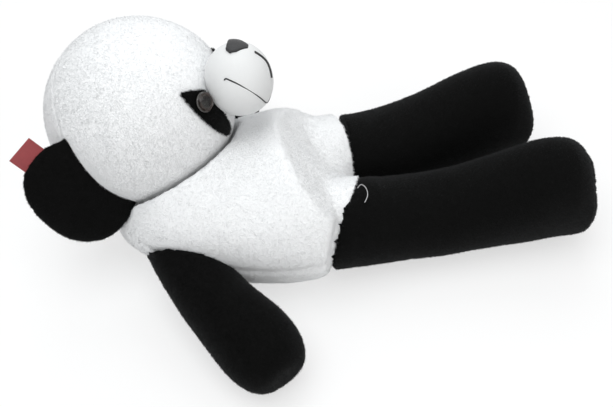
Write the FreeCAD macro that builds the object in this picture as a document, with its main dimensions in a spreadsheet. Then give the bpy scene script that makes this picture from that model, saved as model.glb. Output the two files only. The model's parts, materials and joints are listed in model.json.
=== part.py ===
import FreeCAD, Part
import math
import os

import Sketcher

# Plush panda, lying on its back. Millimetres, +Z up from the floor, +X towards
# the feet, -Y the panda's own right side. The flat of the back rests at Z = 0.

Vec = FreeCAD.Vector
Turn = FreeCAD.Rotation
Place = FreeCAD.Placement

os.makedirs("parts", exist_ok=True)
doc = FreeCAD.newDocument("PlushPanda")
sheet = doc.addObject("Spreadsheet::Sheet", "Sizes")
sheetRows = []
derived = []
subParts = []


def size(name, value, note):
    """Write one driving size, in millimetres or degrees, into the sheet."""
    sheetRows.append(name)
    row = len(sheetRows)
    sheet.set(f"A{row}", note)
    sheet.set(f"B{row}", str(value))
    sheet.setAlias(f"B{row}", name)


def oval(name, along, side, lift, halfWidth, halfHeight, note):
    """Write the five sizes of one oval section of a soft tube."""
    size(name + "Along", along, note + ", place along the axis")
    size(name + "Side", side, note + ", centre to the side")
    size(name + "Lift", lift, note + ", centre above the axis")
    size(name + "Width", halfWidth, note + ", half width")
    size(name + "Height", halfHeight, note + ", half height")


# ---- cloth, seams and clearances
size("pile", 6.0, "plush skin with its pile, thickness")
size("velvet", 3.0, "short pile of the muzzle, thickness")
size("seam", 0.5, "clearance between sewn neighbours")
size("nap", 0.4, "clearance between cloth and what lies on it")

# ---- torso, sections from the neck end to the hips
oval("torsoTop", -240, 16, 80, 20, 18, "neck end")
oval("torsoYoke", -222, 14, 84, 54, 48, "yoke")
oval("torsoShoulder", -182, 9, 90, 88, 76, "shoulders")
oval("torsoChest", -115, 3, 90, 118, 95, "chest")
oval("torsoBelly", -35, -5, 90, 135, 99, "belly")
oval("torsoWaist", 40, -5, 88, 136, 97, "waist")
oval("torsoHip", 84, 0, 74, 129, 71, "hips")
oval("torsoSeat", 116, 3, 57, 114, 51, "seat")
oval("torsoTail", 142, 3, 48, 86, 32, "end of the seat")
size("sideSeamHeight", 88, "height of the side seams above the floor")
size("crotchAlong", 104, "crotch, along the body")
size("crotchSide", 2, "crotch, to the side")
size("hipSlantRight", 28, "slant of the right hip seam")
size("hipSlantLeft", -2, "slant of the left hip seam")

# ---- head
size("headRadius", 131, "radius of the round head")
size("headAlong", -181, "head centre, along the body")
size("headSide", 99, "head centre, to the side")
size("headLift", 185, "head centre, above the floor")
size("headYaw", -116.25, "head frame, turn about Z")
size("headPitch", -12.3, "head frame, turn about Y")
size("headRoll", 30.85, "head frame, turn about X")
size("gussetHalf", 40, "half width of the forehead gusset")
size("gussetStart", -16, "height where the gusset starts, under the muzzle")
size("earSeamBack", 44, "ear seam behind the head's middle")
size("neckHole", 56, "radius of the neck opening")
size("neckThick", 42, "depth of the loosely filled neck")

# ---- muzzle, nose and mouth
size("muzzleForward", 158, "muzzle centre, in front of the head's centre")
size("muzzleDrop", 6, "muzzle centre, below the head's centre")
oval("muzzleBack", -38, 0, 0, 25, 24, "back of the muzzle")
oval("muzzleBase", -24, 0, 0, 41, 40, "base of the muzzle")
oval("muzzleMiddle", 0, 0, 0, 49, 48, "middle of the muzzle")
oval("muzzleFront", 22, 0, 0, 43, 42, "front of the muzzle")
oval("muzzleBrow", 35, 0, 0, 29, 28, "rounding of the muzzle")
oval("muzzleTip", 41.5, 0, 0, 10, 9, "tip of the muzzle")
size("noseRise", 47, "angle of the nose above the muzzle's front")
size("noseWidth", 44, "nose width")
size("noseTall", 27, "nose height")
size("noseThick", 3.0, "nose padding")
size("mouthDrop", 62, "angle of the mouth below the muzzle's front")
size("stitchWide", 2.6, "width of the embroidered lines")
size("stitchHigh", 1.4, "height of the embroidered lines")
size("threadWide", 1.0, "diameter of the loose thread")

# ---- eyes and patches
size("eyeOut", 22, "angle of an eye out from the face's middle")
size("eyeDown", 0.5, "angle of an eye below the head's middle")
size("eyeRadius", 13, "radius of the plastic eye")
size("eyeDome", 7.5, "height of the clear dome")
size("eyeRim", 3.2, "thickness of the eye's dark back")
size("eyeLip", 0.4, "dark rim that shows round the clear dome")
size("eyeSeat", 1.2, "room under the eye for the cloth's curve")
size("gluedGap", 0.05, "clearance between the dome and its back")
size("postRadius", 2.6, "radius of the eye's post")
size("postLength", 21, "length of the eye's post")
size("postRib", 0.5, "height of a rib on the post")
size("ribPitch", 1.8, "spacing of the post's ribs")
size("ribCount", 6, "ribs on the post")
size("washerRadius", 11, "radius of the lock washer")
size("washerThick", 1.4, "thickness of the lock washer")
size("washerSlots", 6, "slots in the lock washer")
size("washerDish", 1.6, "depth of the washer's dished middle")
size("slotReach", 3.4, "reach of a slot beyond the post")
size("slotWide", 0.9, "width of a slot")
size("postGap", 0.1, "clearance of the washer on the post's ribs")
size("postPoint", 1.2, "tapered end of the post")
size("patchThick", 2.2, "thickness of an eye patch")
size("patchLength", 92, "length of an eye patch")
size("patchWide", 19, "radius of a patch's wide end")
size("patchNarrow", 9, "radius of a patch's narrow end")
size("patchLean", 14, "lean of a patch, wide end inwards")

# ---- ears
size("earBaseOut", 117, "ear base, out from the head's middle")
size("earBaseBack", 47, "ear base, behind the head's middle")
size("earBaseDown", 27, "ear base, below the head's middle")
oval("earInside", -28, 0, 0, 60, 12, "ear inside the head")
oval("earSeam", 0, 0, 0, 72, 15, "ear at its seam")
oval("earMiddle", 34, 0, 0, 77, 15, "middle of an ear")
oval("earOuter", 62, 0, 0, 66, 13, "outer half of an ear")
oval("earEdge", 80, 0, 0, 44, 9, "edge of an ear")
oval("earTip", 88, 0, 0, 17, 4, "tip of an ear")
size("earRootGap", 14, "depth of the soft fold beside the ear seam")
size("earSweepRight", 54, "sweep of the right ear towards the back")
size("earSweepLeft", 82, "sweep of the left ear, pressed back by the arm")
size("labelWidth", 38, "width of the sewn-in label")
size("labelReach", 30, "reach of the label past the seam")
size("labelThick", 1.2, "thickness of the folded ribbon")
size("labelPlace", 84, "direction of the label from the ear's seam")
size("labelAlong", 26, "label, out from the ear's seam")
size("labelSide", 79.3, "label, along the ear's seam")

# ---- arms, the same pattern on both sides
oval("armInside", -62, 4, 0, 46, 44, "arm inside the shoulder")
oval("armRoot", 5, -2, 0, 49, 45, "arm at the shoulder")
oval("armUpper", 60, -8, 0, 49, 47, "upper arm")
oval("armElbow", 112, -8, 0, 52, 50, "elbow")
oval("armWrist", 160, -3, 0, 59, 52, "wrist")
oval("armPaw", 200, 0, 0, 61, 51, "paw")
oval("armPawFront", 232, 1, 0, 53, 44, "front of the paw")
oval("armTip", 253, 2, 0, 28, 22, "tip of the paw")
size("armRootLength", 96, "loosely filled root of an arm")
size("shoulderRightAlong", -150, "right shoulder, along the body")
size("shoulderRightSide", -66, "right shoulder, to the side")
size("shoulderRightLift", 72, "right shoulder, above the floor")
size("armRightTurn", -65.5, "right arm, direction on the floor")
size("armRightDroop", 5.6, "right arm, droop to the floor")
size("shoulderLeftAlong", -82, "left shoulder, along the body")
size("shoulderLeftSide", 70, "left shoulder, to the side")
size("shoulderLeftLift", 54, "left shoulder, above the floor")
size("armLeftTurn", 78, "left arm, direction on the floor")
size("armLeftDroop", 1.4, "left arm, droop to the floor")

# ---- legs, the same pattern on both sides
oval("legStart", 30, 0, 0, 60, 60, "start of a leg")
oval("legThigh", 76, 0, 0, 61, 61, "thigh")
oval("legShin", 140, 0, 1, 62, 62, "shin")
oval("legAnkle", 212, 0, 11, 63, 72, "ankle")
oval("legInstep", 254, 0, 18, 64, 79.5, "instep")
oval("legToe", 290, 0, 21, 63, 82.5, "toes")
oval("legToeFront", 316, 0, 18, 61, 79, "front of the toes")
oval("legSole", 334, 0, 11, 56, 70, "edge of the sole")
oval("hipInside", -62, -3, 11, 63, 74, "hip inside the torso")
oval("hipSeam", 0, -2, 7, 62, 67, "hip at its seam")
size("legRootLength", 76, "loosely filled root of a leg")
size("rootLift", 8, "height of the loose roots above the floor")
oval("soleMiddle", 341, 0, 11, 48, 61, "bulge of the sole")
oval("soleCrown", 346, 0, 11, 33, 44, "middle of the sole")
oval("soleTop", 348, 0, 11, 12, 18, "top of the bulge")
size("hipRightAlong", 84, "right hip, along the body")
size("hipRightSide", -59, "right hip, to the side")
size("hipLeftAlong", 62, "left hip, along the body")
size("hipLeftSide", 66, "left hip, to the side")
size("hipLift", 63, "hips, above the floor")
size("legRightTurn", -2.1, "right leg, direction on the floor")
size("legLeftTurn", 7.4, "left leg, direction on the floor")

doc.recompute()


def val(name):
    return float(sheet.get(name))


def deg(name):
    return math.radians(val(name))


# ---- frames of the posed pieces
headFrame = Place(
    Vec(val("headAlong"), val("headSide"), val("headLift")),
    Turn(val("headYaw"), val("headPitch"), val("headRoll")),
)
armFrames = {
    side: Place(
        Vec(val(f"shoulder{side}Along"), val(f"shoulder{side}Side"), val(f"shoulder{side}Lift")),
        Turn(val(f"arm{side}Turn"), val(f"arm{side}Droop"), 0),
    )
    for side in ("Right", "Left")
}
legFrames = {
    side: Place(
        Vec(val(f"hip{side}Along"), val(f"hip{side}Side"), val("hipLift")),
        Turn(val(f"leg{side}Turn"), 0, 0),
    )
    for side in ("Right", "Left")
}
acrossFlat = Turn(Vec(0, 1, 0), Vec(0, 0, 1), Vec(1, 0, 0))
acrossTall = Turn(Vec(0, 0, 1), Vec(0, -1, 0), Vec(1, 0, 0))
swapSigns = str.maketrans("+-", "-+")
sideSign = {"Right": -1, "Left": 1}
level = Place()


# ---- building helpers
def bind(item, **expressions):
    for name, expression in expressions.items():
        item.setExpression(name, expression)
    return item


def keep(item, label):
    """Mark a document object as one sub-part of the toy."""
    item.Label = label
    subParts.append(item)
    return item


def softTube(name, sections, inset, frame, mirror=1, ends=(True, True)):
    """A closed solid lofted through oval sections, all drawn in by the inset."""
    outlines = []
    for number, section in enumerate(sections):
        along = f"Sizes.{section}Along"
        if number == 0 and ends[0]:
            along += inset.translate(swapSigns)
        if number == len(sections) - 1 and ends[1]:
            along += inset
        flat = val(section + "Width") >= val(section + "Height")
        longer, shorter = ("Width", "Height") if flat else ("Height", "Width")
        outline = doc.addObject("Part::Ellipse", f"{name}Section{number}")
        outline.Placement = Place(Vec(0, 0, 0), acrossFlat if flat else acrossTall)
        outline.MajorRadius = 1000
        bind(outline, MajorRadius=f"Sizes.{section}{longer}{inset}")
        bind(outline, MinorRadius=f"Sizes.{section}{shorter}{inset}")
        outline.setExpression("Placement.Base.x", along)
        outline.setExpression("Placement.Base.y", f"{mirror} * Sizes.{section}Side")
        outline.setExpression("Placement.Base.z", f"Sizes.{section}Lift")
        outlines.append(outline)
    item = doc.addObject("Part::Loft", name)
    item.Sections = outlines
    item.Solid = True
    item.Placement = frame
    return item


def ball(name, radius):
    """A sphere about the head's centre, its radius a sheet expression."""
    item = doc.addObject("Part::Sphere", name)
    bind(item, Radius=radius)
    item.Placement = headFrame
    return item


def block(name, frame, low, high):
    """A box between two corners, used to cut pieces along their seams."""
    item = doc.addObject("Part::Box", name)
    item.Length = high[0] - low[0]
    item.Width = high[1] - low[1]
    item.Height = high[2] - low[2]
    item.Placement = frame.multiply(Place(Vec(*low), Turn()))
    return item


def minus(name, base, *tools):
    for number, tool in enumerate(tools):
        item = doc.addObject("Part::Cut", f"{name}Cut{number}")
        item.Base = base
        item.Tool = tool
        item.Refine = False
        base = item
    return base


def common(name, base, tool):
    item = doc.addObject("Part::Common", name)
    item.Base = base
    item.Tool = tool
    item.Refine = False
    return item


def union(name, *items):
    item = doc.addObject("Part::MultiFuse", name)
    item.Shapes = list(items)
    item.Refine = False
    return item


far = 600  # beyond every piece
deep = 120  # deeper than the cloth that an outline cuts
gap = val("seam") / 2
skin = val("pile")
nap = val("nap")
flush = ""
inward = " - Sizes.pile"
packed = " - Sizes.pile - Sizes.nap"
clear = " + Sizes.nap"

# ---- safety eyes: a clear dome on a dark back, a ribbed post and a lock washer
def surfaceFrame(out, down):
    """A frame on the head's skin: +Z out of it, +Y towards the crown."""
    outward = Vec(math.sin(out) * math.cos(down), math.cos(out) * math.cos(down), -math.sin(down))
    right = Vec(0, 0, 1).cross(outward).normalize()
    return Place(outward * val("headRadius"), Turn(right, outward.cross(right), outward))


def profileBody(name, points):
    """A body turned about its own Z axis from a closed outline of sheet expressions."""
    body = doc.addObject("PartDesign::Body", name)
    sketch = body.newObject("Sketcher::SketchObject", name + "Outline")
    plane = [item for item in body.Origin.OriginFeatures if item.Role == "XZ_Plane"][0]
    sketch.AttachmentSupport = [(plane, "")]
    sketch.MapMode = "FlatFace"
    drawOutline(sketch, points)
    doc.recompute()
    turned = body.newObject("PartDesign::Revolution", name + "Turned")
    turned.Profile = sketch
    turned.ReferenceAxis = (sketch, ["V_Axis"])
    turned.Angle = 360
    body.Tip = turned
    return body


def worked(expression):
    """The number a sheet expression stands for, worked out in a cell of its own."""
    derived.append(expression)
    cell = f"D{len(derived)}"
    sheet.set(cell, "=" + expression.replace("Sizes.", ""))
    sheet.recompute()
    return float(sheet.get(cell))


def drawOutline(sketch, points):
    """Straight edges between points, each point held by two dimensions."""
    spots = [Vec(worked(x), worked(y), 0) for x, y in points]
    count = len(spots)
    for number in range(count):
        sketch.addGeometry(Part.LineSegment(spots[number], spots[(number + 1) % count]), False)
    for number in range(count):
        sketch.addConstraint(
            Sketcher.Constraint("Coincident", number, 2, (number + 1) % count, 1)
        )
    for number, (x, y) in enumerate(points):
        for kind, expression, value in (
            ("DistanceX", x, spots[number].x),
            ("DistanceY", y, spots[number].y),
        ):
            if abs(value) < 1e-9:
                other = -2 if kind == "DistanceX" else -1
                sketch.addConstraint(Sketcher.Constraint("PointOnObject", number, 1, other))
                continue
            mark = sketch.addConstraint(Sketcher.Constraint(kind, -1, 1, number, 1, value))
            sketch.setExpression(f"Constraints[{mark}]", expression)


eyeSeats = {"Right": 1, "Left": -1}
eyeHoles = {}
washerPockets = {}
postBottom = "-Sizes.postLength"
for side, sign in eyeSeats.items():
    seat = surfaceFrame(sign * deg("eyeOut"), deg("eyeDown"))
    lift = val("nap") + val("patchThick") + val("eyeSeat")
    eyeFrame = headFrame.multiply(seat).multiply(Place(Vec(0, 0, lift), Turn()))

    # the clear dome is a cap of a ball that stands on the dark back
    dome = doc.addObject("Part::Sphere", f"eye{side}Ball")
    bind(dome, Radius="((Sizes.eyeRadius - Sizes.eyeLip)^2 + Sizes.eyeDome^2) / (2 * Sizes.eyeDome)")
    flatRadius = val("eyeRadius") - val("eyeLip")
    domeRadius = (flatRadius ** 2 + val("eyeDome") ** 2) / (2 * val("eyeDome"))
    seatLift = val("eyeRim") + val("gluedGap")
    dome.Placement = eyeFrame.multiply(
        Place(Vec(0, 0, seatLift + val("eyeDome") - domeRadius), Turn())
    )
    below = doc.addObject("Part::Cylinder", f"eye{side}Below")
    bind(below, Radius="Sizes.eyeRadius + 10", Height="Sizes.eyeRadius * 4")
    below.Placement = eyeFrame.multiply(Place(Vec(0, 0, seatLift - val("eyeRadius") * 4), Turn()))
    keep(minus(f"eye{side}Lens", dome, below), f"eye_{side.lower()}_lens")

    # the dark back and its post, with saw-tooth ribs for the washer to grip
    outline = [
        ("0", "Sizes.eyeRim"),
        ("0", postBottom),
        ("Sizes.postRadius - 0.8", postBottom),
        ("Sizes.postRadius", postBottom + " + Sizes.postPoint"),
    ]
    for rib in range(int(val("ribCount"))):
        start = f"{postBottom} + 1.8 + {rib} * Sizes.ribPitch"
        outline.append(("Sizes.postRadius", start))
        outline.append(("Sizes.postRadius + Sizes.postRib", start + " + Sizes.ribPitch * 0.7"))
        outline.append(("Sizes.postRadius", start + " + Sizes.ribPitch * 0.75"))
    outline += [
        ("Sizes.postRadius", "0"),
        ("Sizes.eyeRadius - 1.5", "0"),
        ("Sizes.eyeRadius", "1.2"),
        ("Sizes.eyeRadius", "Sizes.eyeRim - 0.6"),
        ("Sizes.eyeRadius - 0.5", "Sizes.eyeRim"),
    ]
    back = profileBody(f"eye{side}Back", outline)
    back.Placement = eyeFrame
    keep(back, f"eye_{side.lower()}_back")

    # the lock washer, a dished ring with slots that open as it is pushed on
    under = "-Sizes.patchThick - Sizes.pile - Sizes.nap - 2 * Sizes.eyeSeat"
    dished = under + " - Sizes.washerThick - Sizes.washerDish"
    ring = [
        ("Sizes.postRadius + Sizes.postRib + Sizes.postGap", dished),
        ("Sizes.postRadius + Sizes.postRib + 1.0", dished),
        ("Sizes.postRadius + Sizes.postRib + 2.6", under + " - Sizes.washerThick"),
        ("Sizes.washerRadius", under + " - Sizes.washerThick"),
        ("Sizes.washerRadius", under),
        ("Sizes.postRadius + Sizes.postRib + 2.2", under),
        ("Sizes.postRadius + Sizes.postRib + Sizes.postGap", under + " - Sizes.washerDish"),
    ]
    washer = profileBody(f"washer{side}", ring)
    doc.recompute()
    slotSketch = washer.newObject("Sketcher::SketchObject", f"washer{side}Slot")
    flat = [item for item in washer.Origin.OriginFeatures if item.Role == "XY_Plane"][0]
    slotSketch.AttachmentSupport = [(flat, "")]
    slotSketch.MapMode = "FlatFace"
    drawOutline(slotSketch, [
        ("Sizes.postRadius", "-Sizes.slotWide / 2"),
        ("Sizes.postRadius + Sizes.slotReach", "-Sizes.slotWide / 2"),
        ("Sizes.postRadius + Sizes.slotReach", "Sizes.slotWide / 2"),
        ("Sizes.postRadius", "Sizes.slotWide / 2"),
    ])
    slot = washer.newObject("PartDesign::Pocket", f"washer{side}Pocket")
    slot.Profile = slotSketch
    slot.Type = "ThroughAll"
    slot.Midplane = True
    doc.recompute()
    slots = washer.newObject("PartDesign::PolarPattern", f"washer{side}Slots")
    slots.Originals = [slot]
    slots.Axis = ([item for item in washer.Origin.OriginFeatures if item.Role == "Z_Axis"][0], [""])
    slots.Angle = 360
    bind(slots, Occurrences="Sizes.washerSlots")
    washer.Tip = slots
    washer.Placement = eyeFrame
    keep(washer, f"eye_{side.lower()}_washer")

    hole = doc.addObject("Part::Cylinder", f"eye{side}Hole")
    bind(hole, Radius="Sizes.postRadius + Sizes.postRib + 0.3", Height="Sizes.postLength + 4")
    hole.Placement = eyeFrame.multiply(Place(Vec(0, 0, -val("postLength") - 1), Turn()))
    eyeHoles[side] = hole
    pocket = doc.addObject("Part::Cylinder", f"eye{side}Pocket")
    bind(pocket, Radius="Sizes.washerRadius + 1", Height="Sizes.postLength")
    pocket.Placement = eyeFrame.multiply(Place(Vec(0, 0, -val("postLength") - 1), Turn()))
    washerPockets[side] = pocket


# ---- outlines padded up for the nose and the eye patches, shaped on their skins further down
muzzleCentre = Vec(0, val("muzzleForward"), -val("muzzleDrop"))
muzzleFrame = headFrame.multiply(Place(muzzleCentre, Turn()))


def aimed(frame, rise):
    """A frame turned up from the front by an angle: +Z out, +Y up."""
    outward = Vec(0, math.cos(rise), math.sin(rise))
    up = Vec(0, -math.sin(rise), math.cos(rise))
    return frame.multiply(Place(Vec(0, 0, 0), Turn(up.cross(outward), up, outward)))


def padBody(name, points, depth):
    """A body padded from a closed outline of sheet expressions."""
    body = doc.addObject("PartDesign::Body", name)
    sketch = body.newObject("Sketcher::SketchObject", name + "Outline")
    plane = [item for item in body.Origin.OriginFeatures if item.Role == "XY_Plane"][0]
    sketch.AttachmentSupport = [(plane, "")]
    sketch.MapMode = "FlatFace"
    drawOutline(sketch, points)
    doc.recompute()
    pad = body.newObject("PartDesign::Pad", name + "Pad")
    pad.Profile = sketch
    pad.Length = depth
    body.Tip = pad
    doc.recompute()
    return body


noseBlank = padBody("noseBlank", [
    ("-Sizes.noseWidth * 0.36", "Sizes.noseTall * 0.5"),
    ("-Sizes.noseWidth * 0.5", "Sizes.noseTall * 0.3"),
    ("-Sizes.noseWidth * 0.44", "Sizes.noseTall * 0.02"),
    ("-Sizes.noseWidth * 0.12", "-Sizes.noseTall * 0.46"),
    ("Sizes.noseWidth * 0.12", "-Sizes.noseTall * 0.46"),
    ("Sizes.noseWidth * 0.44", "Sizes.noseTall * 0.02"),
    ("Sizes.noseWidth * 0.5", "Sizes.noseTall * 0.3"),
    ("Sizes.noseWidth * 0.36", "Sizes.noseTall * 0.5"),
], deep)
noseBlank.Placement = aimed(muzzleFrame, deg("noseRise"))
noseRoom = padBody("noseRoom", [
    ("-Sizes.noseWidth * 0.36", "Sizes.noseTall * 0.5"),
    ("-Sizes.noseWidth * 0.6", "Sizes.noseTall * 0.3"),
    ("-Sizes.noseWidth * 0.12", "-Sizes.noseTall * 0.46 - Sizes.nap"),
    ("Sizes.noseWidth * 0.12", "-Sizes.noseTall * 0.46 - Sizes.nap"),
    ("Sizes.noseWidth * 0.6", "Sizes.noseTall * 0.3"),
    ("Sizes.noseWidth * 0.36", "Sizes.noseTall * 0.5"),
], deep)
noseRoom.Placement = aimed(muzzleFrame, deg("noseRise"))
bridges = {}
patchFrames = {}
for side, sign in eyeSeats.items():
    seat = surfaceFrame(sign * deg("eyeOut"), deg("eyeDown"))
    lean = Place(Vec(0, 0, -deep / 2), Turn(Vec(0, 0, 1), -sign * val("patchLean")))
    patchFrames[side] = headFrame.multiply(seat).multiply(lean)
    bridges[side] = padBody(f"patch{side}Bridge", [
        ("-Sizes.patchNarrow", "Sizes.patchLength * 0.36"),
        ("-Sizes.patchWide", "-Sizes.patchLength * 0.3"),
        ("Sizes.patchWide", "-Sizes.patchLength * 0.3"),
        ("Sizes.patchNarrow", "Sizes.patchLength * 0.36"),
    ], deep)
    bridges[side].Placement = patchFrames[side]

# ---- torso
torsoSections = ["torsoTop", "torsoYoke", "torsoShoulder", "torsoChest"]
torsoSections += ["torsoBelly", "torsoWaist", "torsoHip", "torsoSeat", "torsoTail"]
torsoOuter = softTube("torsoOuter", torsoSections, flush, level)
torsoInner = softTube("torsoInner", torsoSections, inward, level)
torsoCore = softTube("torsoCore", torsoSections, packed, level)
torsoClear = softTube("torsoClear", torsoSections, clear, level)


def hipPlane(name, slant, offset):
    """Everything beyond one hip seam, moved out by the offset."""
    crotch = Place(Vec(val("crotchAlong"), val("crotchSide"), 0), Turn(slant, 0, 0))
    return block(name, crotch, (offset, -far, -far), (far, far, far))


def hipBack(name, slant, offset):
    """Everything on the torso's side of one hip seam."""
    crotch = Place(Vec(val("crotchAlong"), val("crotchSide"), 0), Turn(slant, 0, 0))
    return block(name, crotch, (-far, -far, -far), (offset, far, far))


hipRight = hipPlane("hipRightBeyond", -val("hipSlantRight"), -gap)
hipLeft = hipPlane("hipLeftBeyond", val("hipSlantLeft"), -gap)


def floorBelow(name, height):
    return block(name, level, (-far, -far, -far), (far, far, height))


# the dish that the head sinks into: the head's own outline, drawn out by the neck's depth
neckDish = ball("neckDish", "Sizes.headRadius + Sizes.neckThick")
neckDishInside = ball("neckDishInside", "Sizes.headRadius + Sizes.neckThick - Sizes.nap")
torsoShell = minus(
    "torsoShell", torsoOuter, floorBelow("floorOuter", 0),
    minus("torsoHollow", torsoInner, floorBelow("floorInner", skin)),
    hipRight, hipLeft, neckDish,
)
sideSeam = val("sideSeamHeight")
upperHalf = block("torsoUpperHalf", level, (-far, -far, sideSeam + gap), (far, far, far))
middle = val("crotchSide")
lowerRight = block("torsoLowerRight", level, (-far, -far, -far), (far, middle - gap, sideSeam - gap))
lowerLeft = block("torsoLowerLeft", level, (-far, middle + gap, -far), (far, far, sideSeam - gap))
keep(common("torsoFront", torsoShell, upperHalf), "torso_front_panel")
keep(common("torsoBackRight", torsoShell, lowerRight), "torso_back_right_panel")
keep(common("torsoBackLeft", torsoShell, lowerLeft), "torso_back_left_panel")
keep(
    minus(
        "torsoFilling", torsoCore, floorBelow("floorCore", skin + nap),
        hipRight, hipLeft, neckDish,
    ),
    "torso_stuffing",
)

# ---- head
headOuter = ball("headOuter", "Sizes.headRadius")
headInner = ball("headInner", "Sizes.headRadius - Sizes.pile")
headCore = ball("headCore", "Sizes.headRadius - Sizes.pile - Sizes.nap")
headClear = ball("headClear", "Sizes.headRadius + Sizes.nap")


def neckPlug(name, radius):
    item = doc.addObject("Part::Cylinder", name)
    bind(item, Radius=radius, Height="Sizes.headRadius + Sizes.neckThick / 2")
    item.Placement = headFrame.multiply(Place(Vec(0, 0, 0), Turn(Vec(1, 0, 0), 180)))
    return item


neckOpening = neckPlug("neckOpening", "Sizes.neckHole")


# ---- head skin, cut into its pattern pieces
headShell = minus("headShell", headOuter, headInner, neckOpening, eyeHoles["Right"], eyeHoles["Left"])
back = -val("earSeamBack")
halfGusset = val("gussetHalf")
start = val("gussetStart")
faceRightHalf = block("faceRightHalf", headFrame, (gap, back + gap, -far), (far, far, far))
faceLeftHalf = block("faceLeftHalf", headFrame, (-far, back + gap, -far), (-gap, far, far))
backRightHalf = block("backRightHalf", headFrame, (gap, -far, -far), (far, back - gap, far))
backLeftHalf = block("backLeftHalf", headFrame, (-far, -far, -far), (-gap, back - gap, far))
gussetRoom = block(
    "gussetRoom", headFrame, (-halfGusset - gap, back - far, start - gap), (halfGusset + gap, far, far)
)
gussetHalf = block(
    "gussetHalf", headFrame, (-halfGusset + gap, back + gap, start + gap), (halfGusset - gap, far, far)
)
keep(
    minus("faceRight", common("faceRightAll", headShell, faceRightHalf), gussetRoom),
    "face_right_panel",
)
keep(
    minus("faceLeft", common("faceLeftAll", headShell, faceLeftHalf), gussetRoom),
    "face_left_panel",
)
keep(common("forehead", headShell, gussetHalf), "forehead_gusset")
keep(common("headBackRight", headShell, backRightHalf), "head_back_right_panel")
keep(common("headBackLeft", headShell, backLeftHalf), "head_back_left_panel")
keep(
    minus("headFilling", headCore, washerPockets["Right"], washerPockets["Left"]),
    "head_stuffing",
)

# ---- muzzle


def muzzleBall(name, change):
    return softTube(name, muzzleSections, change, muzzleAxis)


muzzleAxis = muzzleFrame.multiply(Place(Vec(0, 0, 0), Turn(90, 0, 0)))
muzzleSections = ["muzzleBack", "muzzleBase", "muzzleMiddle", "muzzleFront", "muzzleBrow", "muzzleTip"]
muzzleOuter = muzzleBall("muzzleOuter", "")
muzzleInner = muzzleBall("muzzleInner", " - Sizes.velvet")
muzzleCore = muzzleBall("muzzleCore", " - Sizes.velvet - Sizes.nap")
muzzleClear = muzzleBall("muzzleClear", " + Sizes.nap")
keep(minus("muzzleCover", muzzleOuter, muzzleInner, headClear), "muzzle_cover")
keep(minus("muzzleFilling", muzzleCore, headClear), "muzzle_stuffing")

# ---- nose and mouth, laid on the muzzle


noseBall = muzzleBall("noseBall", " + Sizes.nap + Sizes.noseThick")
keep(minus("noseCover", common("nosePad", noseBall, noseBlank), muzzleClear), "nose_cover")

stitchBall = muzzleBall("stitchBall", " + Sizes.nap + Sizes.stitchHigh")


def stitch(name, label, frame, low, high, *tools):
    blank = block(name + "Blank", frame, low, high)
    keep(minus(name, common(name + "Pad", stitchBall, blank), muzzleClear, *tools), label)


wide = val("stitchWide") / 2
lineHeight = val("muzzleMiddleHeight") * math.sin(deg("mouthDrop"))
noseLow = val("muzzleMiddleHeight") * math.sin(deg("noseRise"))
stitch(
    "philtrum", "philtrum_stitch", muzzleFrame,
    (-wide, 0, -lineHeight + wide + val("nap")), (wide, far, noseLow), noseRoom,
)
mouthShare = 0.8  # of the muzzle's half width
mouthEnd = val("muzzleMiddleWidth") * mouthShare
stitch(
    "mouth", "mouth_stitch", muzzleFrame,
    (-mouthEnd, 0, -lineHeight - wide), (mouthEnd, far, -lineHeight + wide), headClear,
)

# ---- eye patches: teardrops on the face, pierced by the eye posts
patchBall = ball("patchBall", "Sizes.headRadius + Sizes.nap + Sizes.patchThick")
for side, sign in eyeSeats.items():
    topEnd = doc.addObject("Part::Cone", f"patch{side}Top")
    bind(topEnd, Radius1="Sizes.patchNarrow", Radius2="Sizes.patchNarrow + 0.01")
    topEnd.Height = deep
    topEnd.Placement = patchFrames[side].multiply(Place(Vec(0, val("patchLength") * 0.36, 0), Turn()))
    lowEnd = doc.addObject("Part::Cone", f"patch{side}Low")
    bind(lowEnd, Radius1="Sizes.patchWide", Radius2="Sizes.patchWide + 0.01")
    lowEnd.Height = deep
    lowEnd.Placement = patchFrames[side].multiply(Place(Vec(0, -val("patchLength") * 0.3, 0), Turn()))
    drop = union(f"patch{side}Drop", topEnd, lowEnd, bridges[side])
    pad = common(f"patch{side}Pad", patchBall, drop)
    keep(
        minus(f"patch{side}", pad, headClear, eyeHoles[side], muzzleClear),
        f"eye_patch_{side.lower()}",
    )

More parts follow.
